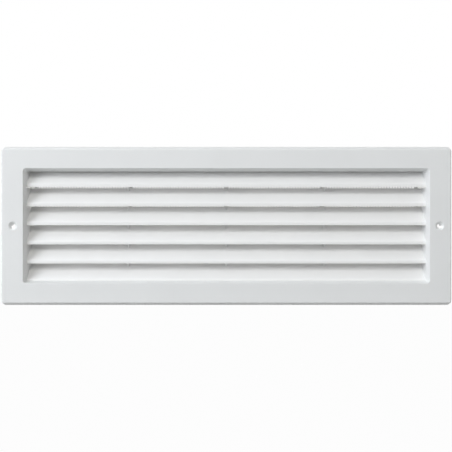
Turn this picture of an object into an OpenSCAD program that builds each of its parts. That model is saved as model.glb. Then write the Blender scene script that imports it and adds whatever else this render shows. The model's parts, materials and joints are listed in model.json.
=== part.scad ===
// Louvred air grille for a wall opening: face, six fixed blades, three comb ribs and an insect screen.
// Millimetres. X runs to the right, Z up, and the face looks along -Y. Y = 0 is the wall.

/* [Face] */
// Width of the face
face_w = 370; // [300:1:480]
// Height of the face
face_h = 130; // [112:1:150]
// How far the face stands off the wall
face_stand = 6; // [5:0.5:9]
// Corner radius of the face's flat front
corner_r = 0.8; // [0.5:0.1:5]
// Radius of the edge between the front and the turned-back rim
edge_r = 1.5; // [1.2:0.1:2]
// Draft of the rim, in degrees from square with the wall
rim_draft = 20; // [5:1:25]
// Thickness of the face, the rim and the collar
wall = 2.2; // [1.6:0.1:2.2]

/* [Opening] */
// Face left at each side of the opening
side_border = 19.6; // [18:0.1:26]
// Face left above and below the opening
level_border = 18.1; // [14:0.1:22]
// Corner radius of the opening at the face
opening_r = 2.8; // [2:0.1:4]
// How far the lip of the opening narrows it all round
lip_run = 1.7; // [0.5:0.1:1.8]
// Depth of the lip, from the face to the blades' noses
lip_depth = 4.8; // [3:0.1:6]
// Radius of the edge between the face and the lip
lip_edge_r = 0.5; // [0.2:0.1:0.8]

/* [Collar] */
// How far the collar reaches into the wall
collar_reach = 22; // [16:0.5:45]

/* [Louvres] */
// Number of blades
louvre_count = 6; // [5:1:7]
// Thickness of a blade
blade_t = 1.9; // [1.4:0.1:2.6]
// Radius of a blade's nose
nose_r = 1.4; // [1:0.1:2.2]
// How far the lowest nose is sunk below the collar's floor
nose_sunk = 1.45; // [0.5:0.05:1.7]
// How far the top blade's rear edge would pass the collar's ceiling
top_cut = 2.2; // [1.8:0.1:4]
// Height of the straight view through between two blades
sight_gap = 0.25; // [0:0.05:1]
// Width of the lug at a blade's end, along the slope
lug_w = 6; // [3:0.5:7]
// Thickness of the lug
lug_t = 1.3; // [0.8:0.1:1.4]
// Clearance round a lug or tab in its slot
slot_clear = 0.15; // [0.05:0.05:0.3]

/* [Ribs] */
// Number of upright ribs
rib_count = 3; // [3:1:3]
// Thickness of a rib
rib_t = 1.6; // [1:0.1:2.4]
// How far the blades' rear edges sit in the rib
rib_bite = 2.9; // [1.5:0.1:4]
// Clearance round a blade in its notch
notch_clear = 0.1; // [0.05:0.05:0.3]
// Length of the tab at a rib's top and bottom, front to back
tab_l = 5; // [3:0.5:6]
// Diameter of the pips that locate the screen on a rib
pip_d = 1.6; // [1:0.1:2.4]
// Clearance round a pip in the screen's bar
pip_clear = 0.1; // [0.05:0.05:0.3]
// Number of pips on a rib
pip_count = 3; // [2:1:5]

/* [Insect screen] */
// Thickness of a net strand, and of one of the screen's two layers
strand_t = 1; // [0.6:0.1:1.2]
// Holes across one of the four bays
holes_across = 34; // [20:1:36]
// Holes from top to bottom
holes_up = 40; // [24:1:42]
// Width of the bar behind each rib
bar_w = 4.1; // [3.6:0.1:6]
// How far the screen's rim reaches inside the collar's wall line
rim_step = 0.3; // [0:0.1:1]
// Width of the welded edge that joins a layer's strands at their ends
selvedge_w = 0.6; // [0.3:0.1:1.2]

/* [Screw holes] */
// Distance of a screw hole from the end of the face
screw_inset = 11.4; // [9:0.1:12]
// Diameter of the screw's clearance hole
screw_d = 3.4; // [2.5:0.1:4]
// Diameter of the countersink at the face
sink_d = 7; // [5:0.1:8]
// Outer diameter of the boss behind the hole
boss_d = 9; // [8.2:0.1:10]

/* [Hidden] */
$fn = 48;
eps = 0.01; // a hair, by which an arc or a solid crosses what it would only touch
past = collar_reach; // how far a cutting tool runs past what it cuts

// Depths: Y of each plane, the wall being 0
face_y = -face_stand;
skin_y = face_y + wall;
nose_y = face_y + lip_depth;
collar_y = collar_reach;
net_y = collar_y + strand_t;
screen_y = collar_y + 2 * strand_t;

// Rim: from the corners' centres out to its foot at the wall
foot_r = corner_r + round_run(edge_r, rim_draft) + face_stand * tan(rim_draft);
slant_wall = wall / cos(rim_draft);

// Opening and collar
opening_w = face_w - 2 * side_border;
opening_h = face_h - 2 * level_border;
inner_w = opening_w - 2 * lip_run;
inner_h = opening_h - 2 * lip_run;
inner_r = opening_r - lip_run;
outer_w = inner_w + 2 * wall;
outer_h = inner_h + 2 * wall;
outer_r = inner_r + wall;
lip_lean = atan(lip_run / lip_depth);
ceiling = inner_h / 2;

// Louvres: 45 degree blades, each with its rear edge a sight gap below the nose above
pitch = (inner_h + nose_sunk + top_cut + sight_gap) / louvre_count;
nose_h = blade_t * sqrt(2);
run = pitch - sight_gap - nose_h;
blade_y = nose_y + run;
top_nose = -ceiling - nose_sunk + (louvre_count - 1) * pitch;
lug_y = nose_y + run / 2;
// Shift of a lug along its slope that keeps the first and the last one inside the collar
lug_shift = [for (i = [1:louvre_count]) i == 1 ? -lug_w / 4 : i == louvre_count ? lug_w / 4 : 0];

// Ribs: they share the opening out into equal bays
bay = inner_w / (rib_count + 1);
rib_x = [for (i = [1:rib_count]) -inner_w / 2 + i * bay];
rib_y = blade_y - rib_bite;
tab_y = (blade_y + collar_y) / 2;
pip_z = [for (i = [1:pip_count]) (i - (pip_count + 1) / 2) * inner_h / (pip_count + 1)];

// Screen
rim_w = inner_w - 2 * rim_step;
rim_h = inner_h - 2 * rim_step;
rim_r = max(inner_r - rim_step, 0.3);

screw_x = face_w / 2 - screw_inset;
web_t = 1.6; // stiffening webs behind the face
web_gap = 0.6; // webs stop this far short of the wall

louvres = [for (i = [1:louvre_count]) str("louvre_", i)];
ribs = ["rib_left", "rib_centre", "rib_right"];

// ---- Helpers ----

// A plate cut to a front outline, from one Y to another
module plate(from_y, to_y) {
    translate([0, to_y, 0]) rotate([90, 0, 0]) linear_extrude(to_y - from_y) children();
}

// A side section, drawn in Y and Z, drawn out along X about x = 0
module along_x(length) {
    rotate([90, 0, 90]) linear_extrude(length, center = true) children();
}

// A rectangle with round corners
module rounded(w, h, r) {
    square([w - 2 * r, h], center = true);
    square([w, h - 2 * r], center = true);
    for (x = [-1, 1], z = [-1, 1]) translate([x * (w / 2 - r), z * (h / 2 - r)]) circle(r);
}

// Carries a section round a rounded rectangle. The section's x is the distance outward from the
// corners' centres, and its y is the distance in front of the wall.
module carried_round(w, h, r) {
    rotate([90, 0, 0]) for (k = [0:3]) {
        across = (k % 2 == 0 ? w : h) / 2 - r;
        along = (k % 2 == 0 ? h : w) / 2 - r;
        rotate(90 * k) {
            translate([across, along, 0]) rotate_extrude(angle = 90) children();
            translate([across, along, 0]) rotate([90, 0, 0]) linear_extrude(2 * along) children();
        }
    }
}

// ---- Frame ----

// How far in from the corner a round edge starts, where a side leans out from under a level face
function round_run(r, lean) = r * tan((90 - lean) / 2);

// What such a round edge leaves over. The round's centre is at the origin, and the side to its right.
module edge_waste(r, lean) {
    beyond = r + 1;
    difference() {
        polygon([[0, 0], beyond * [cos(lean), sin(lean)], [beyond, beyond], [0, beyond]]);
        circle(r);
    }
}

// A point of the rim's slope at a height in front of the wall, some way in from its outside
function rim_at(up, inward) = [foot_r - inward - up * tan(rim_draft), up];

// Section of the face's edge and its turned-back rim
module rim_section() {
    difference() {
        polygon([[0, 0], rim_at(0, 0), rim_at(face_stand, 0), [0, face_stand]]);
        translate([corner_r, face_stand - edge_r]) edge_waste(edge_r, rim_draft);
        polygon([[-1, -1], rim_at(-1, slant_wall), rim_at(face_stand - wall, slant_wall), [-1, face_stand - wall]]);
    }
}

// Section of the opening's lip and the collar behind it
module collar_section() {
    difference() {
        polygon([
            [opening_r, face_stand],
            [inner_r, face_stand - lip_depth],
            [inner_r, -collar_reach],
            [outer_r, -collar_reach],
            [outer_r, face_stand - wall - eps],
            [opening_r + wall, face_stand - wall - eps],
            [opening_r + wall, face_stand]
        ]);
        translate([opening_r + round_run(lip_edge_r, lip_lean), face_stand - lip_edge_r])
            mirror([1, 0]) edge_waste(lip_edge_r, lip_lean);
    }
}

// Skin of the face between its rim and the lip
module face_skin() {
    plate(face_y, skin_y) difference() {
        square([face_w - 2 * foot_r, face_h - 2 * foot_r], center = true);
        rounded(opening_w + wall, opening_h + wall, opening_r + wall / 2);
    }
}

// Webs that tie the rim to the collar, in line with the ribs, each from the middle of one wall to
// the middle of the other
module webs() {
    front = face_stand - wall / 2;
    root = (outer_h - wall) / 2;
    for (x = rib_x, side = [-1, 1]) translate([x, 0, 0]) along_x(web_t) polygon([
        [-front, side * root],
        [-front, side * (face_h / 2 - foot_r + rim_at(front, slant_wall / 2).x)],
        [-web_gap, side * (face_h / 2 - foot_r + rim_at(web_gap, slant_wall / 2).x)],
        [-web_gap, side * root]
    ]);
}

// Countersunk hole for a screw, drilled from the face
module screw_hole() {
    sink = (sink_d - screw_d) / 2;
    rotate([90, 0, 0]) translate([0, 0, -past]) cylinder(h = 2 * past, d = screw_d);
    translate([0, face_y, 0]) rotate([-90, 0, 0]) cylinder(h = sink, d1 = sink_d, d2 = screw_d);
}

// Slots in the collar's side walls for the blades' lugs
module lug_slots() {
    for (i = [1:louvre_count]) louvre_place(i) lug(i, slot_clear, inner_w + 2 * past);
}

// Slots in the collar's ceiling and floor for the ribs' tabs
module tab_slots() {
    for (x = rib_x) translate([x, 0, 0]) tab(slot_clear, inner_h + 2 * past);
}

module frame() {
    color("#e3e6e9") difference() {
        union() {
            carried_round(face_w, face_h, foot_r) rim_section();
            carried_round(opening_w, opening_h, opening_r) collar_section();
            face_skin();
            webs();
            for (side = [-1, 1]) translate([side * screw_x, 0, 0]) plate(skin_y - wall / 2, 0) circle(d = boss_d);
        }
        for (side = [-1, 1]) translate([side * screw_x, 0, 0]) screw_hole();
        lug_slots();
        tab_slots();
    }
}

// ---- Louvres ----

// Section of a blade, its nose's lower edge at [nose_y, 0]. The nose's arc is a hair larger than one
// that only touches the two faces, so that it crosses them cleanly.
module blade_section() {
    tangent = nose_r * tan(22.5);
    translate([nose_y, 0]) difference() {
        polygon([[0, 0], [0, nose_h], [run, run + nose_h], [run, run]]);
        difference() {
            translate([-nose_r, nose_h - tangent]) square([nose_r + tangent * sqrt(0.5), nose_r]);
            translate([nose_r, nose_h - tangent]) circle(nose_r + eps);
        }
    }
}

// The notch in a rib that takes a blade. Over the top blade it stays open to the ceiling.
module notch_section(i) {
    grown = notch_clear * sqrt(2);
    front = rib_y - nose_y - 1;
    back = run + notch_clear;
    over = i == 1 ? pitch : 0;
    translate([nose_y, 0]) polygon([
        [front, front - grown],
        [front, front + nose_h + grown + over],
        [back, back + nose_h + grown + over],
        [back, back - grown]
    ]);
}

// Puts a blade at its height, counted from the top
module louvre_place(i) {
    translate([0, 0, top_nose - (i - 1) * pitch]) children();
}

// The lug that runs through a blade from end to end, in the middle of its thickness
module lug(i, clear, length) {
    translate([0, lug_y, run / 2 + nose_h / 2]) rotate([45, 0, 0]) translate([0, lug_shift[i - 1], 0])
        cube([length, lug_w + 2 * clear, lug_t + 2 * clear], center = true);
}

module louvre(i) {
    color("#e9ecef") {
        intersection() {
            louvre_place(i) along_x(inner_w) blade_section();
            cube([inner_w, 2 * past + face_w, inner_h], center = true);
        }
        for (side = [-1, 1]) intersection() {
            louvre_place(i) lug(i, 0, outer_w);
            translate([side * (inner_w + wall) / 2, 0, 0]) cube([wall, 2 * past + face_w, inner_h], center = true);
        }
    }
}

// ---- Ribs ----

// The tab that runs through a rib from top to bottom, and shows at either end
module tab(clear, length) {
    translate([0, tab_y, 0]) cube([rib_t + 2 * clear, tab_l + 2 * clear, length], center = true);
}

module rib(i) {
    color("#dfe2e5") translate([rib_x[i], 0, 0]) {
        difference() {
            along_x(rib_t) translate([rib_y, -ceiling]) square([collar_y - rib_y, inner_h]);
            for (j = [1:louvre_count]) louvre_place(j) along_x(2 * rib_t) notch_section(j);
        }
        tab(0, outer_h);
        for (z = pip_z) translate([0, collar_y - pip_d, z]) rotate([-90, 0, 0]) cylinder(h = pip_d + strand_t, d = pip_d);
    }
}

// ---- Insect screen ----

module screen_frame() {
    color("#d5d9dd") {
        plate(collar_y, screen_y) difference() {
            rounded(outer_w, outer_h, outer_r);
            rounded(rim_w, rim_h, rim_r);
        }
        for (x = rib_x) plate(collar_y, net_y) translate([x, 0]) difference() {
            square([bar_w, rim_h], center = true);
            for (z = pip_z) translate([0, z]) circle(d = pip_d + 2 * pip_clear);
        }
    }
}

// A strand of the net along Z: eight-sided, with flats where it crosses the next layer
module strand(length) {
    linear_extrude(length, center = true) rotate(22.5) circle(d = strand_t / cos(22.5), $fn = 8);
}

// Centres of the strands that share a width out into equal holes
function strand_places(low, high, holes) =
    let (step = (high - low + strand_t) / holes) [for (k = [1:holes - 1]) low + k * step - strand_t / 2];

// The front layer: upright strands in the bays between the bars, each bay joined at its top and bottom
module net_uprights() {
    edges = concat([-rim_w / 2], [for (x = rib_x) each [x - bar_w / 2, x + bar_w / 2]], [rim_w / 2]);
    color("#cfd3d7") for (k = [0:rib_count]) {
        low = edges[2 * k];
        high = edges[2 * k + 1];
        from_x = k == 0 ? low + rim_r : low;
        to_x = k == rib_count ? high - rim_r : high;
        for (x = strand_places(low, high, holes_across))
            translate([x, collar_y + strand_t / 2, 0]) strand(rim_h - selvedge_w);
        for (side = [-1, 1]) plate(collar_y, net_y)
            translate([(from_x + to_x) / 2, side * (rim_h - selvedge_w) / 2])
                square([to_x - from_x, selvedge_w], center = true);
    }
}

// The rear layer: cross strands behind the bars, joined at both ends
module net_cross_strands() {
    color("#c9cdd1") {
        for (z = strand_places(-rim_h / 2, rim_h / 2, holes_up))
            translate([0, net_y + strand_t / 2, z]) rotate([0, 90, 0]) strand(rim_w - selvedge_w);
        for (side = [-1, 1]) plate(net_y, screen_y)
            translate([side * (rim_w - selvedge_w) / 2, 0]) square([selvedge_w, rim_h - 2 * rim_r], center = true);
    }
}

frame();
for (i = [1:louvre_count]) louvre(i);
for (i = [0:rib_count - 1]) rib(i);
screen_frame();
net_uprights();
net_cross_strands();
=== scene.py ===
import json
import math
import bmesh
import bpy
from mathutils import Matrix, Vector


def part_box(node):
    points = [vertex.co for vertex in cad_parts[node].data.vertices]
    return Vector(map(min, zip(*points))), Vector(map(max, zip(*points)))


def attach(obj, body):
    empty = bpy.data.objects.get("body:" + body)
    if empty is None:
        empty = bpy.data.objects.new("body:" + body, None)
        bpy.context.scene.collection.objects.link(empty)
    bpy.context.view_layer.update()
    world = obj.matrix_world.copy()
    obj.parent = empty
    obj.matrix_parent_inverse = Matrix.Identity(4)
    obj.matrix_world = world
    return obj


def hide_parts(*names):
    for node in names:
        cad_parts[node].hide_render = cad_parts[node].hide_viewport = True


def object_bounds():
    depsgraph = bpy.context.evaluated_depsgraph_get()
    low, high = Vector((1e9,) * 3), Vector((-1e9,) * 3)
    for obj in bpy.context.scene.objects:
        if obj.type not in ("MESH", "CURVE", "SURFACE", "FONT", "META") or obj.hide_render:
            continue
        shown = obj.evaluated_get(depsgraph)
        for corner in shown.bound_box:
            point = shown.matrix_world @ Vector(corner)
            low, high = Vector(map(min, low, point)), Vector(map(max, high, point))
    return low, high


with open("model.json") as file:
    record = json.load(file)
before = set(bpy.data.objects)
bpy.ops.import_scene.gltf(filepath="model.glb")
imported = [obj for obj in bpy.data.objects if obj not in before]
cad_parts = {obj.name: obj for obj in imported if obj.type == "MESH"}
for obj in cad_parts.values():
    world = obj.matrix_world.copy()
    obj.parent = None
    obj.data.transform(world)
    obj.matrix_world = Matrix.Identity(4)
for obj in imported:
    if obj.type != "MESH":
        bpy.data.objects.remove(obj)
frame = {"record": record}        # thirteen CAD nodes, all on the one body "root"
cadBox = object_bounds()
mm = 0.001               # sizes in the dictionaries are millimetres, and Blender's are metres
samePlace = 0.02         # millimetres within which two places are the same
overrun = 1.0            # millimetres by which a cutting tool runs past what it cuts

# Where things show in the photograph, in pixels across and down. None: that way doesn't count.
imageSize = 452
imagePoints = {
    "edgeLeft": (0.9, None),
    "edgeRight": (450.75, None),
    "edgeTop": (None, 146.8),
    "edgeBottom": (None, 304.2),
    "openingLeft": (23.07, None),
    "openingRight": (430.0, None),
    "openingTop": (None, 168.6),
    "openingBottom": (None, 283.9),
    "screwLeft": (12.95, 225.9),
    "screwRight": (439.95, 225.9),
    "nose1": (None, 187.0),
    "nose3": (None, 225.35),
    "nose5": (None, 263.55),
    "ribLeft": (128.2, None),
    "ribCentre": (226.7, None),
    "ribRight": (324.9, None),
}
camera = {"lens": 50.0, "sensor": 36.0, "silhouetteY": 0.0}    # the rim is widest at the wall


# Working in Blender

def objectMode():                        # and nothing selected
    if bpy.context.mode != "OBJECT":
        bpy.ops.object.mode_set(mode="OBJECT")
    bpy.ops.object.select_all(action="DESELECT")


def select(*pieces):                     # these alone, the last one active
    objectMode()
    for piece in pieces:
        piece.select_set(True)
    bpy.context.view_layer.objects.active = pieces[-1]


def edit(piece):                         # edit mode with nothing selected
    select(piece)
    bpy.ops.object.mode_set(mode="EDIT")
    bpy.ops.mesh.select_all(action="DESELECT")


def pick(piece, kind, test):             # in edit mode: verts, edges or faces that pass the test
    bpy.ops.mesh.select_mode(type=kind)
    bpy.ops.mesh.select_all(action="DESELECT")
    mesh = bmesh.from_edit_mesh(piece.data)
    for item in {"VERT": mesh.verts, "EDGE": mesh.edges, "FACE": mesh.faces}[kind]:
        if test(item):
            item.select_set(True)
    mesh.select_flush_mode()
    bmesh.update_edit_mesh(piece.data)


def near(value, millimetres):            # a place in metres against one in millimetres
    return abs(value - millimetres * mm) < samePlace * mm


def liesAt(edge, y):                     # whether both ends of an edge are at that depth
    return all(near(vert.co.y, y) for vert in edge.verts)


def applyPlace(piece):                   # the place goes into the mesh, the object to the origin
    select(piece)
    bpy.ops.object.transform_apply(location=True, rotation=True, scale=True)


def modify(piece, kind, **settings):     # one modifier, set and applied
    select(piece)
    modifier = piece.modifiers.new(kind.lower(), kind)
    for setting, value in settings.items():
        setattr(modifier, setting, value)
    bpy.ops.object.modifier_apply(modifier=modifier.name)


def softenEdges(piece, radius, segments=2, above=50):    # edges that turn by more than the angle
    modify(piece, "BEVEL", width=radius * mm, segments=segments, limit_method="ANGLE",
           angle_limit=math.radians(above), use_clamp_overlap=True)


def join(name, pieces):
    select(*pieces)
    bpy.ops.object.join()
    joined = bpy.context.active_object
    joined.name = name
    return joined


def combine(piece, tool, operation):     # union or difference with a tool, which is then deleted
    modify(piece, "BOOLEAN", object=tool, operation=operation, solver="EXACT")
    bpy.data.objects.remove(tool)


def duplicate(piece, name, offset=(0, 0, 0)):
    select(piece)
    bpy.ops.object.duplicate(linked=False)
    copy = bpy.context.active_object
    copy.name = name
    copy.location = Vector(offset) * mm
    applyPlace(copy)
    return copy


def finishShading(piece, angle=35):      # flats stay flat, and only the small rounds shade smoothly
    select(piece)
    bpy.ops.object.shade_smooth_by_angle(angle=math.radians(angle))
    modify(piece, "WEIGHTED_NORMAL", keep_sharp=True)


def boxOf(node):                         # a CAD node's lowest and highest corner in millimetres
    low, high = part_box(node)
    return low / mm, high / mm


def addBox(name, low, high):
    low, high = Vector(low) * mm, Vector(high) * mm
    bpy.ops.mesh.primitive_cube_add(size=1, location=(low + high) / 2)
    box = bpy.context.active_object
    box.name = name
    box.scale = high - low
    applyPlace(box)
    return box


def addSlopedBox(name, halfLength, front, back, low, high):
    # the rear of a box is raised until it slopes at 45 degrees
    box = addBox(name, (-halfLength, front, low), (halfLength, back, high))
    edit(box)
    pick(box, "VERT", lambda vert: near(vert.co.y, back))
    bpy.ops.transform.translate(value=(0, 0, (back - front) * mm))
    select(box)
    return box


def addRod(name, radius, front, back, x=0, z=0, sides=48):    # a cylinder from front to back
    bpy.ops.mesh.primitive_cylinder_add(vertices=sides, radius=radius * mm,
                                        depth=(back - front) * mm,
                                        location=(x * mm, (front + back) / 2 * mm, z * mm),
                                        rotation=(math.pi / 2, 0, 0))
    rod = bpy.context.active_object
    rod.name = name
    applyPlace(rod)
    return rod


def addRoundedSheet(name, width, height, radius, y, segments=8):
    # one face towards -Y with round corners, left selected in edit mode
    objectMode()
    bpy.ops.mesh.primitive_plane_add(size=1, location=(0, y * mm, 0), rotation=(math.pi / 2, 0, 0))
    sheet = bpy.context.active_object
    sheet.name = name
    sheet.scale = (width * mm, height * mm, 1)
    applyPlace(sheet)
    bpy.ops.object.mode_set(mode="EDIT")
    bpy.ops.mesh.select_all(action="SELECT")
    bpy.ops.mesh.bevel(offset=radius * mm, segments=segments, affect="VERTICES")
    return sheet


def extrude(y):                          # what is selected in edit mode is drawn out along Y
    bpy.ops.mesh.extrude_region_move(TRANSFORM_OT_translate={"value": (0, y * mm, 0)})


# Sizes that several pieces share

faceLow, faceHigh = boxOf("frame")
faceY, collarY = faceLow.y, faceHigh.y
faceWidth, faceHeight = faceHigh.x - faceLow.x, faceHigh.z - faceLow.z

frameMoulding = {
    "cornerRadius": 0.8, "edgeRadius": 1.5, "edgeSegments": 8, "rimDraft": math.radians(20),
    "wall": 2.2, "sideBorder": 19.6, "levelBorder": 18.1, "openingRadius": 2.8,
    "lipRun": 1.7, "lipDepth": 4.8, "lipEdgeRadius": 0.5, "lipCrease": 0.5,
    "fineEdge": 0.3, "fineSegments": 3, "webThickness": 1.6, "webGap": 0.6,
    "screwHole": 3.4, "countersink": 7.0, "countersinkFlare": 0.15, "boss": 9.0,
}


def roundRun(radius, lean):              # from a corner to its round edge's start; the side leans
    return radius * math.tan((math.pi / 2 - lean) / 2)


edgeRun = roundRun(frameMoulding["edgeRadius"], frameMoulding["rimDraft"])
lipLean = math.atan(frameMoulding["lipRun"] / frameMoulding["lipDepth"])
lipEdgeRun = roundRun(frameMoulding["lipEdgeRadius"], lipLean)
rimRun = -faceY * math.tan(frameMoulding["rimDraft"])
slantWall = frameMoulding["wall"] / math.cos(frameMoulding["rimDraft"])
openingWidth = faceWidth - 2 * frameMoulding["sideBorder"]
openingHeight = faceHeight - 2 * frameMoulding["levelBorder"]
innerWidth = openingWidth - 2 * frameMoulding["lipRun"]
innerHeight = openingHeight - 2 * frameMoulding["lipRun"]
outerWidth = innerWidth + 2 * frameMoulding["wall"]
outerHeight = innerHeight + 2 * frameMoulding["wall"]
ceiling = innerHeight / 2
screwX = frame["record"]["mounts"][0]["dims"]["spacing_x_mm"] / 2

louvre = {"count": 6, "noseRadius": 1.4, "noseSegments": 8, "fineEdge": 0.2,
          "lugWidth": 6.0, "lugThickness": 1.3, "slotClear": 0.15}
bladeAngle = math.pi / 4                 # what addSlopedBox gives
bladeLow, bladeHigh = boxOf("louvre_2")  # a blade that neither the ceiling nor the floor trims
pitch = bladeLow.z - boxOf("louvre_3")[0].z
bladeRun = bladeHigh.y - bladeLow.y
noseHeight = bladeHigh.z - bladeLow.z - bladeRun

rib = {"notchClear": 0.1, "tabLength": 5.0, "pipDiameter": 1.6, "pipSides": 24, "pipCount": 3,
       "fineEdge": 0.12}
ribNodes = {"rib_left": "combRibLeft", "rib_centre": "combRibCentre", "rib_right": "combRibRight"}
ribLow, ribHigh = boxOf("rib_centre")
ribThickness = ribHigh.x - ribLow.x
ribX = [(boxOf(node)[0].x + boxOf(node)[1].x) / 2 for node in ribNodes]
tabY = (bladeHigh.y + collarY) / 2
pipZ = [(i - (rib["pipCount"] + 1) / 2) * innerHeight / (rib["pipCount"] + 1)
        for i in range(1, rib["pipCount"] + 1)]


def noseZ(number):                       # a blade's lowest height; the top blade is number 1
    return bladeLow.z - (number - 2) * pitch


def lugShift(number):                    # the end blades' lugs are kept clear of the collar's walls
    return {1: -1, louvre["count"]: 1}.get(number, 0) * louvre["lugWidth"] / 4


def addLugBar(number, halfLength, clear):
    width, thickness = louvre["lugWidth"] / 2 + clear, louvre["lugThickness"] / 2 + clear
    shift = lugShift(number)
    bar = addBox("lugBar", (-halfLength, shift - width, -thickness),
                 (halfLength, shift + width, thickness))
    bar.rotation_euler.x = bladeAngle
    bar.location = Vector((0, bladeLow.y + bladeRun / 2,
                           noseZ(number) + (bladeRun + noseHeight) / 2)) * mm
    applyPlace(bar)
    return bar


# Frame: face, turned-back rim, lip and collar in one moulding

def pastOpening(place):                  # whether a place in metres is clear of the lip's round edge
    reach = 2 * frameMoulding["lipEdgeRadius"]
    return (abs(place.x) > (openingWidth / 2 + reach) * mm
            or abs(place.z) > (openingHeight / 2 + reach) * mm)


def buildShell():
    size = frameMoulding
    footRadius = size["cornerRadius"] + edgeRun + rimRun
    shell = addRoundedSheet("shell", faceWidth, faceHeight, footRadius, 0)
    bpy.ops.mesh.inset(thickness=rimRun * mm, depth=-faceY * mm)
    bpy.ops.mesh.delete(type="FACE")
    select(shell)

    opening = addRoundedSheet("opening", openingWidth, openingHeight, size["openingRadius"], faceY)
    bpy.ops.mesh.inset(thickness=size["lipRun"] * mm, depth=-size["lipDepth"] * mm)
    extrude(collarY - faceY - size["lipDepth"])
    bpy.ops.mesh.delete(type="FACE")
    crease = faceY + size["lipDepth"]
    pick(opening, "EDGE", lambda edge: liesAt(edge, crease))
    bpy.ops.mesh.bevel(offset=size["lipCrease"] * mm, segments=2, affect="EDGES")

    shell = join("frameMoulding", [opening, shell])
    edit(shell)
    pick(shell, "EDGE", lambda edge: edge.is_boundary and liesAt(edge, faceY))
    bpy.ops.mesh.bridge_edge_loops()
    bpy.ops.mesh.select_all(action="SELECT")
    bpy.ops.mesh.remove_doubles(threshold=0.001 * mm)
    bpy.ops.mesh.normals_make_consistent(inside=False)
    mesh = bmesh.from_edit_mesh(shell.data)
    front = max(mesh.faces, key=lambda face: face.calc_area() * abs(face.normal.y))
    if front.normal.y > 0:               # the wall's thickness is to grow inwards
        bpy.ops.mesh.flip_normals()
    modify(shell, "SOLIDIFY", thickness=size["wall"] * mm, offset=-1, use_even_offset=True)
    edit(shell)
    # the inner edge of the rim's foot sticks out behind, and is drawn back until the foot is flat
    pick(shell, "VERT", lambda vert: samePlace * mm < vert.co.y < size["wall"] * mm)
    level = size["wall"] * math.cos(size["rimDraft"])
    bpy.ops.transform.resize(value=((faceWidth - 2 * slantWall) / (faceWidth - 2 * level), 0,
                                    (faceHeight - 2 * slantWall) / (faceHeight - 2 * level)),
                             center_override=(0, 0, 0))
    for run, outer in ((edgeRun, True), (lipEdgeRun, False)):
        pick(shell, "EDGE", lambda edge: liesAt(edge, faceY)
             and all(pastOpening(vert.co) == outer for vert in edge.verts))
        bpy.ops.mesh.bevel(offset=run * mm, segments=size["edgeSegments"], affect="EDGES")
    softenEdges(shell, size["fineEdge"], segments=size["fineSegments"])
    return shell


def buildBacking():                      # webs and screw bosses behind the face
    size = frameMoulding
    front = faceY + size["wall"] / 2
    backing = []
    rimMiddle = (faceHeight - slantWall) / 2          # of the rim's wall, at its foot
    slope = math.tan(size["rimDraft"])
    for side in (-1, 1):
        ends = sorted((side * (outerHeight - size["wall"]) / 2,
                       side * (rimMiddle - size["webGap"] * slope)))
        for x in ribX:
            web = addBox("web", (x - size["webThickness"] / 2, front, ends[0]),
                         (x + size["webThickness"] / 2, -size["webGap"], ends[1]))
            edit(web)
            pick(web, "VERT", lambda vert: near(vert.co.y, front)
                 and side * vert.co.z > outerHeight / 2 * mm)
            bpy.ops.transform.translate(value=(0, 0, side * (front + size["webGap"]) * slope * mm))
            select(web)
            backing.append(web)
        backing.append(addRod("boss", size["boss"] / 2, front, 0, x=side * screwX))
    backing = join("backing", backing)
    softenEdges(backing, size["fineEdge"])
    return backing


def addScrewCutter(x):                   # countersink and hole in one tool
    size = frameMoulding
    outer, hole = size["countersink"] / 2, size["screwHole"] / 2
    flare = size["countersinkFlare"]
    cutter = addRod("screwCutter", outer + flare, 2 * faceY, faceY, x=x)
    edit(cutter)
    pick(cutter, "FACE", lambda face: near(face.calc_center_median().y, faceY))
    # how far each step goes in, and the radius it starts and ends with
    steps = [(flare / 2, outer + flare, outer - flare / 2),
             (outer - hole - flare / 2, outer - flare / 2, hole),
             (-2 * faceY, hole, hole)]
    for depth, fromRadius, toRadius in steps:
        extrude(depth)
        ratio = toRadius / fromRadius
        bpy.ops.transform.resize(value=(ratio, 1, ratio), center_override=(x * mm, 0, 0))
    select(cutter)
    return cutter


def buildFrame():
    moulding = buildShell()
    combine(moulding, buildBacking(), "UNION")
    clear = louvre["slotClear"]
    cutters = [addScrewCutter(side * screwX) for side in (-1, 1)]
    cutters += [addLugBar(i + 1, outerWidth / 2 + overrun, clear) for i in range(louvre["count"])]
    for x in ribX:
        width, length = ribThickness / 2 + clear, rib["tabLength"] / 2 + clear
        cutters.append(addBox("tabBar", (x - width, tabY - length, -outerHeight / 2 - overrun),
                              (x + width, tabY + length, outerHeight / 2 + overrun)))
    combine(moulding, join("cutters", cutters), "DIFFERENCE")
    finishShading(moulding)
    return moulding


# Louvres

def buildBlade():                        # the second blade, with a round nose and fine rear edges
    noseTop = bladeLow.z + noseHeight
    blade = addSlopedBox("blade", innerWidth / 2, bladeLow.y, bladeHigh.y, bladeLow.z, noseTop)
    edit(blade)
    pick(blade, "EDGE", lambda edge: liesAt(edge, bladeLow.y)
         and all(near(vert.co.z, noseTop) for vert in edge.verts))
    bpy.ops.mesh.bevel(offset=roundRun(louvre["noseRadius"], bladeAngle) * mm,
                       segments=louvre["noseSegments"], affect="EDGES")
    # the long edges that are still sharp
    pick(blade, "EDGE", lambda edge: edge.calc_length() > 2 * bladeRun * mm
         and edge.calc_face_angle() > math.radians(30))
    bpy.ops.mesh.bevel(offset=louvre["fineEdge"] * mm, segments=2, affect="EDGES")
    select(blade)
    return blade


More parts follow.
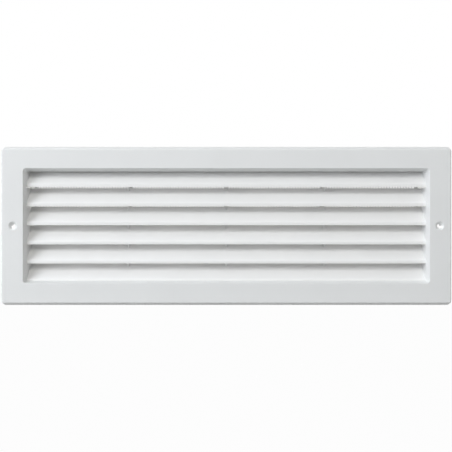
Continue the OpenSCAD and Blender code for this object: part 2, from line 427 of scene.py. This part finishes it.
def buildLouvre(blade, number):
    piece = duplicate(blade, "louvreBlade%d" % number, (0, 0, noseZ(number) - bladeLow.z))
    edit(piece)
    for side in (-1, 1):                 # the ceiling trims the top blade, the floor the last one
        bpy.ops.mesh.select_all(action="SELECT")
        bpy.ops.mesh.bisect(plane_co=(0, 0, side * ceiling * mm), plane_no=(0, 0, side),
                            clear_outer=True, use_fill=True)
    select(piece)
    lugs = addLugBar(number, outerWidth / 2, 0)
    softenEdges(lugs, louvre["fineEdge"])
    combine(piece, lugs, "UNION")
    finishShading(piece)
    return piece


# Comb ribs

def buildRib():                          # the middle rib
    comb = addBox("comb", (-ribThickness / 2, ribLow.y, -ceiling),
                  (ribThickness / 2, collarY, ceiling))
    grown = rib["notchClear"] * math.sqrt(2)           # the clear space, measured upright
    front, back = ribLow.y - overrun, bladeHigh.y + rib["notchClear"]
    notches = []
    for number in range(1, louvre["count"] + 1):
        low = noseZ(number) + front - bladeLow.y - grown
        over = pitch if number == 1 else 0             # open to the ceiling over the top blade
        high = low + noseHeight + 2 * grown + over
        notches.append(addSlopedBox("notch", ribThickness, front, back, low, high))
    combine(comb, join("notches", notches), "DIFFERENCE")
    softenEdges(comb, rib["fineEdge"])
    tab = addBox("tab", (-ribThickness / 2, tabY - rib["tabLength"] / 2, -outerHeight / 2),
                 (ribThickness / 2, tabY + rib["tabLength"] / 2, outerHeight / 2))
    pips = [addRod("pip", rib["pipDiameter"] / 2, collarY - rib["pipDiameter"], ribHigh.y,
                   z=z, sides=rib["pipSides"]) for z in pipZ]
    for fitting in (tab, join("pips", pips)):
        softenEdges(fitting, rib["fineEdge"])
        combine(comb, fitting, "UNION")
    return comb


# Insect screen

screen = {"rimStep": 0.3, "rimRadius": 0.8, "barWidth": 4.1, "barRoot": 0.5, "pipClear": 0.1,
          "fineEdge": 0.25}
net = {"holesAcross": 34, "holesUp": 40, "sides": 10, "smoothAngle": 40, "selvedge": 0.6}
screenY = boxOf("screen_frame")[1].y
strandSize = boxOf("net_uprights")[1].y - collarY
netY = collarY + strandSize
rimWidth, rimHeight = innerWidth - 2 * screen["rimStep"], innerHeight - 2 * screen["rimStep"]


def buildScreenFrame():
    outerRadius = frameMoulding["openingRadius"] - frameMoulding["lipRun"] + frameMoulding["wall"]
    ring = addRoundedSheet("screenFrame", outerWidth, outerHeight, outerRadius, screenY)
    extrude(collarY - screenY)
    window = addRoundedSheet("window", rimWidth, rimHeight, screen["rimRadius"], screenY + overrun)
    extrude(collarY - screenY - 2 * overrun)
    combine(ring, window, "DIFFERENCE")
    softenEdges(ring, screen["fineEdge"])
    barEnd = rimHeight / 2 + screen["barRoot"]
    bars = join("bars", [addBox("bar", (x - screen["barWidth"] / 2, collarY, -barEnd),
                                (x + screen["barWidth"] / 2, netY, barEnd)) for x in ribX])
    softenEdges(bars, screen["fineEdge"])
    combine(ring, bars, "UNION")
    holeRadius = rib["pipDiameter"] / 2 + screen["pipClear"]
    holes = [addRod("pipHole", holeRadius, collarY - overrun, netY + overrun, x=x, z=z,
                    sides=rib["pipSides"]) for x in ribX for z in pipZ]
    combine(ring, join("pipHoles", holes), "DIFFERENCE")
    finishShading(ring)
    return ring


def addStrand(name, start, end):         # a round strand of the net between two points
    start, end = Vector(start) * mm, Vector(end) * mm
    bpy.ops.mesh.primitive_cylinder_add(vertices=net["sides"], radius=strandSize / 2 * mm,
                                        depth=(end - start).length, location=(start + end) / 2,
                                        rotation=(end - start).to_track_quat("Z", "Y").to_euler())
    strand = bpy.context.active_object
    strand.name = name
    applyPlace(strand)
    return strand


def buildUprights():                     # the front layer: four bays of strands between the bars
    edges = [-rimWidth / 2]
    for x in ribX:
        edges += [x - screen["barWidth"] / 2, x + screen["barWidth"] / 2]
    edges.append(rimWidth / 2)
    half = (rimHeight - net["selvedge"]) / 2
    stripEnd = rimWidth / 2 - screen["rimRadius"]
    y = collarY + strandSize / 2
    bays = []
    for low, high in zip(edges[::2], edges[1::2]):
        step = (high - low + strandSize) / net["holesAcross"]
        first = low + step - strandSize / 2
        strands = addStrand("strands", (first, y, -half), (first, y, half))
        modify(strands, "ARRAY", count=net["holesAcross"] - 1, use_relative_offset=False,
               use_constant_offset=True, constant_offset_displace=(step * mm, 0, 0))
        strips = [addBox("strip", (max(low, -stripEnd), collarY, z - net["selvedge"] / 2),
                         (min(high, stripEnd), netY, z + net["selvedge"] / 2))
                  for z in (-half, half)]
        bays += [strands] + strips
    return join("netUprights", bays)


def buildCrossStrands():                 # the rear layer, behind the bars
    step = (rimHeight + strandSize) / net["holesUp"]
    first = -rimHeight / 2 + step - strandSize / 2
    half = (rimWidth - net["selvedge"]) / 2
    y = netY + strandSize / 2
    strands = addStrand("strands", (-half, y, first), (half, y, first))
    modify(strands, "ARRAY", count=net["holesUp"] - 1, use_relative_offset=False,
           use_constant_offset=True, constant_offset_displace=(0, 0, step * mm))
    stripEnd = rimHeight / 2 - screen["rimRadius"]
    strips = [addBox("strip", (x - net["selvedge"] / 2, netY, -stripEnd),
                     (x + net["selvedge"] / 2, screenY, stripEnd))
              for x in (-half, half)]
    return join("netCrossStrands", [strands] + strips)


# Materials

def colour(text):                        # sRGB hex to Blender's linear values
    levels = [int(text[i:i + 2], 16) / 255 for i in (1, 3, 5)]
    return [v / 12.92 if v <= 0.04045 else ((v + 0.055) / 1.055) ** 2.4 for v in levels] + [1.0]


def addNode(tree, kind, settings=None, inputs=None):    # an input is a value or a socket to link
    node = tree.nodes.new("ShaderNode" + kind)
    for name, value in (settings or {}).items():
        setattr(node, name, value)
    for name, value in (inputs or {}).items():
        if isinstance(value, bpy.types.NodeSocket):
            tree.links.new(value, node.inputs[name])
        else:
            node.inputs[name].default_value = value
    return node


def newMaterial(name):
    material = bpy.data.materials.new(name)
    material.use_nodes = True
    material.node_tree.nodes.clear()
    return material, material.node_tree


# Injection-moulded ASA, polished tool: a semi-gloss white skin that is never quite even. The melt
# leaves faint clouds in the colour, the tool a fine orange peel, and cooling a slow waviness.
# The face's base is painted a little darker than the blades' below: painted shade.
mouldedWhite = {"base": "#EBECEC", "cloud": "#E6E7E7", "cloudSize": 38.0, "stretch": (1, 1, 1),
                "peelSize": 0.9, "peelDepth": 0.004, "waveSize": 30.0, "waveDepth": 0.03,
                "roughness": (0.26, 0.36), "ior": 1.52}
# Same plastic, flow lines drawn out along their length; base painted lighter than the face's: painted
# light.
bladeWhitePaintedLighter = dict(mouldedWhite, base="#F5F5F5", cloud="#F0F0EF", stretch=(0.15, 1, 1))
# The comb ribs and the screen's frame are plainer tools: satin, with a spark-eroded grain.
satinWhite = dict(mouldedWhite, base="#EAEAE9", cloud="#E1E1E0", peelSize=0.5, peelDepth=0.012,
                  roughness=(0.42, 0.55))
# Extruded polypropylene net: soft, milky and slightly ribbed along the strands.
netWhite = dict(mouldedWhite, base="#D9D9D6", cloud="#CDCDCA", cloudSize=9.0, peelSize=0.35,
                peelDepth=0.015, roughness=(0.38, 0.5), ior=1.49)


def mouldedPlastic(name, look):
    material, tree = newMaterial(name)
    local = addNode(tree, "TexCoord").outputs["Object"]
    drawn = addNode(tree, "Mapping", inputs={"Vector": local, "Scale": look["stretch"]})
    place = drawn.outputs["Vector"]
    clouds = addNode(tree, "TexNoise", inputs={"Vector": place, "Detail": 3.0,
                                               "Scale": 1 / (look["cloudSize"] * mm)})
    tint = addNode(tree, "Mix", {"data_type": "RGBA"},
                   {0: clouds.outputs["Fac"], 6: colour(look["cloud"]), 7: colour(look["base"])})
    peel = addNode(tree, "TexNoise", inputs={"Vector": place, "Detail": 2.0,
                                             "Scale": 1 / (look["peelSize"] * mm)})
    wave = addNode(tree, "TexNoise", inputs={"Vector": place, "Detail": 1.0,
                                             "Scale": 1 / (look["waveSize"] * mm)})
    smooth, rough = look["roughness"]
    gloss = addNode(tree, "MapRange", inputs={"Value": clouds.outputs["Fac"],
                                              "To Min": smooth, "To Max": rough})
    waved = addNode(tree, "Bump", inputs={"Height": wave.outputs["Fac"], "Strength": 1.0,
                                          "Distance": look["waveDepth"] * mm})
    peeled = addNode(tree, "Bump", inputs={"Height": peel.outputs["Fac"], "Strength": 1.0,
                                           "Distance": look["peelDepth"] * mm,
                                           "Normal": waved.outputs["Normal"]})
    plastic = addNode(tree, "BsdfPrincipled",
                      inputs={"Base Color": tint.outputs[2], "Roughness": gloss.outputs["Result"],
                              "IOR": look["ior"], "Normal": peeled.outputs["Normal"]})
    addNode(tree, "OutputMaterial", inputs={"Surface": plastic.outputs["BSDF"]})
    return material


def handOver(piece, slot, material, *nodes):   # a finished piece takes the place of its CAD nodes
    piece.data.materials.clear()
    piece.data.materials.append(material)
    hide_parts(*nodes)
    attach(piece, "root")


# Making the grille

faceMaterial = mouldedPlastic("glossyMouldedPlasticFacePaintedDarker", mouldedWhite)
bladeMaterial = mouldedPlastic("glossyMouldedPlasticBladePaintedLighter", bladeWhitePaintedLighter)
ribMaterial = mouldedPlastic("satinMouldedPlasticRib", satinWhite)
screenMaterial = mouldedPlastic("satinMouldedPlasticScreen", satinWhite)
netMaterial = mouldedPlastic("extrudedPolypropyleneNet", netWhite)

frameObject = buildFrame()
handOver(frameObject, "face_plastic", faceMaterial, "frame")
print("frame:", len(frameObject.data.polygons), "faces")

blade = buildBlade()
louvres = []
for number in range(1, louvre["count"] + 1):
    louvres.append(buildLouvre(blade, number))
    handOver(louvres[-1], "blade_plastic", bladeMaterial, "louvre_%d" % number)
bpy.data.objects.remove(blade)
print("louvres:", len(louvres))

comb = buildRib()
ribs = {}
for (node, name), x in zip(ribNodes.items(), ribX):
    ribs[node] = duplicate(comb, name, (x, 0, 0))
    finishShading(ribs[node])
    handOver(ribs[node], "rib_plastic", ribMaterial, node)
bpy.data.objects.remove(comb)
print("ribs:", len(ribs))

screenObject = buildScreenFrame()
handOver(screenObject, "screen_plastic", screenMaterial, "screen_frame")
for build, node in ((buildUprights, "net_uprights"), (buildCrossStrands, "net_cross_strands")):
    layer = build()
    finishShading(layer, net["smoothAngle"])    # a strand turns by 36 degrees from side to side
    handOver(layer, "net_plastic", netMaterial, node)
print("insect screen done")


# Camera, settled by the image points

def middle(*names):                      # mean of the points that give this way across or down
    across = [imagePoints[name][0] for name in names if imagePoints[name][0] is not None]
    down = [imagePoints[name][1] for name in names if imagePoints[name][1] is not None]
    return sum(across) / len(across), sum(down) / len(down)


focal = camera["lens"] / camera["sensor"] * imageSize        # in pixels
span = imagePoints["edgeRight"][0] - imagePoints["edgeLeft"][0]
distance = faceWidth * focal / span
centre = middle("edgeLeft", "edgeRight", "edgeTop", "edgeBottom", "openingLeft", "openingRight",
                "openingTop", "openingBottom", "screwLeft", "screwRight")
offset = [(imageSize / 2 - value) * distance / focal for value in centre]
lens = bpy.data.cameras.new("camera")
lens.lens = camera["lens"]
lens.sensor_width = camera["sensor"]
lens.sensor_fit = "AUTO"
lens.clip_start = 0.01
cameraObject = bpy.data.objects.new("camera", lens)
cameraObject.location = Vector((offset[0], camera["silhouetteY"] - distance, -offset[1])) * mm
cameraObject.rotation_euler = (math.pi / 2, 0, 0)            # level, square to the face
bpy.context.scene.collection.objects.link(cameraObject)
bpy.context.scene.camera = cameraObject
print("camera:", round(distance), "mm in front of the wall")


# Studio

studio = {
    "fill": 0.04, "fillColour": "#FFFEFC",
    "floorSize": 8.0, "floorBelow": 0.1,        # metres across, and millimetres below the grille
    "floorColour": "#AAAAA8", "floorRoughness": 0.8, "floorGlow": 0.97,
    "floorGrain": 4.0, "floorGrainDepth": 0.05,
    "lamps": {                                  # places and sizes in metres
        "windowLeft": {"place": (-1.61, -1.35, 0.64), "size": (1.1, 1.3),
                       "watts": 28.8, "colour": "#F6FAFF"},
        "windowLeftHigh": {"place": (-1.19, -0.43, 1.8), "size": (1.5, 1.5),
                           "watts": 17.0, "colour": "#F8FBFF"},
        "softboxFront": {"place": (0.1, -1.85, 1.2), "size": (1.6, 0.9),
                         "watts": 15.3, "colour": "#FFFEFB"},
        "cardRight": {"place": (2.12, -0.57, 0.19), "size": (0.75, 0.75),
                      "watts": 4.0, "colour": "#FFFEFA"},
        "softboxBehind": {"place": (0.0, 2.17, 0.38), "size": (1.4, 1.0),
                          "watts": 32.0, "colour": "#FFFDF8"},
    },
}


def seenRay(tree):                       # 1 where the camera looks, also by a mirror or through glass
    path = addNode(tree, "LightPath")
    mirrored = addNode(tree, "Math", {"operation": "MAXIMUM"},
                       {0: path.outputs["Is Camera Ray"], 1: path.outputs["Is Glossy Ray"]})
    seen = addNode(tree, "Math", {"operation": "MAXIMUM"},
                   {0: mirrored.outputs[0], 1: path.outputs["Is Transmission Ray"]})
    return seen.outputs[0]


world = bpy.data.worlds.new("studio")
world.use_nodes = True
world.node_tree.nodes.clear()
fill = addNode(world.node_tree, "Background", inputs={"Color": colour(studio["fillColour"]),
                                                      "Strength": studio["fill"]})
white = addNode(world.node_tree, "Background", inputs={"Color": (1, 1, 1, 1), "Strength": 1.0})
sky = addNode(world.node_tree, "MixShader", inputs={0: seenRay(world.node_tree), 1: fill.outputs[0],
                                                    2: white.outputs[0]})
addNode(world.node_tree, "OutputWorld", inputs={"Surface": sky.outputs[0]})
bpy.context.scene.world = world

# Painted floor: pale and matt. To the camera it glows nearly white, with a trace of the shadow.
floorMaterial, floorTree = newMaterial("mattPaintedFloor")
floorPlace = addNode(floorTree, "TexCoord").outputs["Object"]
grain = addNode(floorTree, "TexNoise", inputs={"Vector": floorPlace,
                                               "Scale": 1 / (studio["floorGrain"] * mm)})
rolled = addNode(floorTree, "Bump", inputs={"Height": grain.outputs["Fac"],
                                            "Distance": studio["floorGrainDepth"] * mm})
paint = addNode(floorTree, "BsdfPrincipled", inputs={"Base Color": colour(studio["floorColour"]),
                                                     "Roughness": studio["floorRoughness"],
                                                     "Normal": rolled.outputs["Normal"]})
glow = addNode(floorTree, "Emission", inputs={"Color": (1, 1, 1, 1), "Strength": 1.0})
share = addNode(floorTree, "Math", {"operation": "MULTIPLY"},
                {0: seenRay(floorTree), 1: studio["floorGlow"]})
surface = addNode(floorTree, "MixShader", inputs={0: share.outputs[0], 1: paint.outputs[0],
                                                  2: glow.outputs[0]})
addNode(floorTree, "OutputMaterial", inputs={"Surface": surface.outputs[0]})
bpy.ops.mesh.primitive_plane_add(size=studio["floorSize"],
                                 location=(0, 0, cadBox[0].z - studio["floorBelow"] * mm))
floor = bpy.context.active_object
floor.name = "floor"
floor.data.materials.append(floorMaterial)
applyPlace(floor)

for name, lamp in studio["lamps"].items():
    light = bpy.data.lights.new(name, "AREA")
    light.shape = "RECTANGLE"
    light.size, light.size_y = lamp["size"]
    light.energy = lamp["watts"]
    light.color = colour(lamp["colour"])[:3]
    lampObject = bpy.data.objects.new(name, light)
    lampObject.location = lamp["place"]
    lampObject.rotation_euler = (-Vector(lamp["place"])).to_track_quat("-Z", "Y").to_euler()
    lampObject.visible_camera = False    # the one behind would show over the grille
    bpy.context.scene.collection.objects.link(lampObject)

bpy.context.scene.view_settings.view_transform = "Standard"
print("studio done")


# Where the model's outline, opening, screw holes, noses and ribs show through the camera

def toImage(place):                      # pixels across and down at which a place in metres shows
    local = cameraObject.matrix_world.inverted() @ Vector(place)
    return imageSize / 2 - focal * local.x / local.z, imageSize / 2 + focal * local.y / local.z


def shown(piece, test):                  # where the vertices show that pass a test in millimetres
    return [toImage(vert.co) for vert in piece.data.vertices if test(vert.co / mm)]


bpy.context.view_layer.update()
outline = shown(frameObject, lambda p: p.y < 0)
around = shown(frameObject, lambda p: near(p.y * mm, faceY) and not pastOpening(p * mm))
found = {}
for name, places, low, high in (("edge", outline, min, max), ("opening", around, min, max)):
    across, down = [p[0] for p in places], [p[1] for p in places]
    found[name + "Left"], found[name + "Right"] = (low(across), None), (high(across), None)
    found[name + "Top"], found[name + "Bottom"] = (None, low(down)), (None, high(down))
for name, side in (("screwLeft", -1), ("screwRight", 1)):
    reach = frameMoulding["boss"] / 2    # more than the countersink's, less than anything else's
    rim = shown(frameObject, lambda p: near(p.y * mm, faceY)
                and abs(p.x - side * screwX) < reach and abs(p.z) < reach)
    found[name] = tuple((min(values) + max(values)) / 2 for values in zip(*rim))
for number in (1, 3, 5):
    nose = shown(louvres[number - 1], lambda p: p.y < bladeLow.y + 2 * louvre["fineEdge"])
    found["nose%d" % number] = (None, max(place[1] for place in nose))
for name, node in (("ribLeft", "rib_left"), ("ribCentre", "rib_centre"), ("ribRight", "rib_right")):
    edge = shown(ribs[node], lambda p: near(p.y * mm, ribLow.y))
    found[name] = (sum(place[0] for place in edge) / len(edge), None)
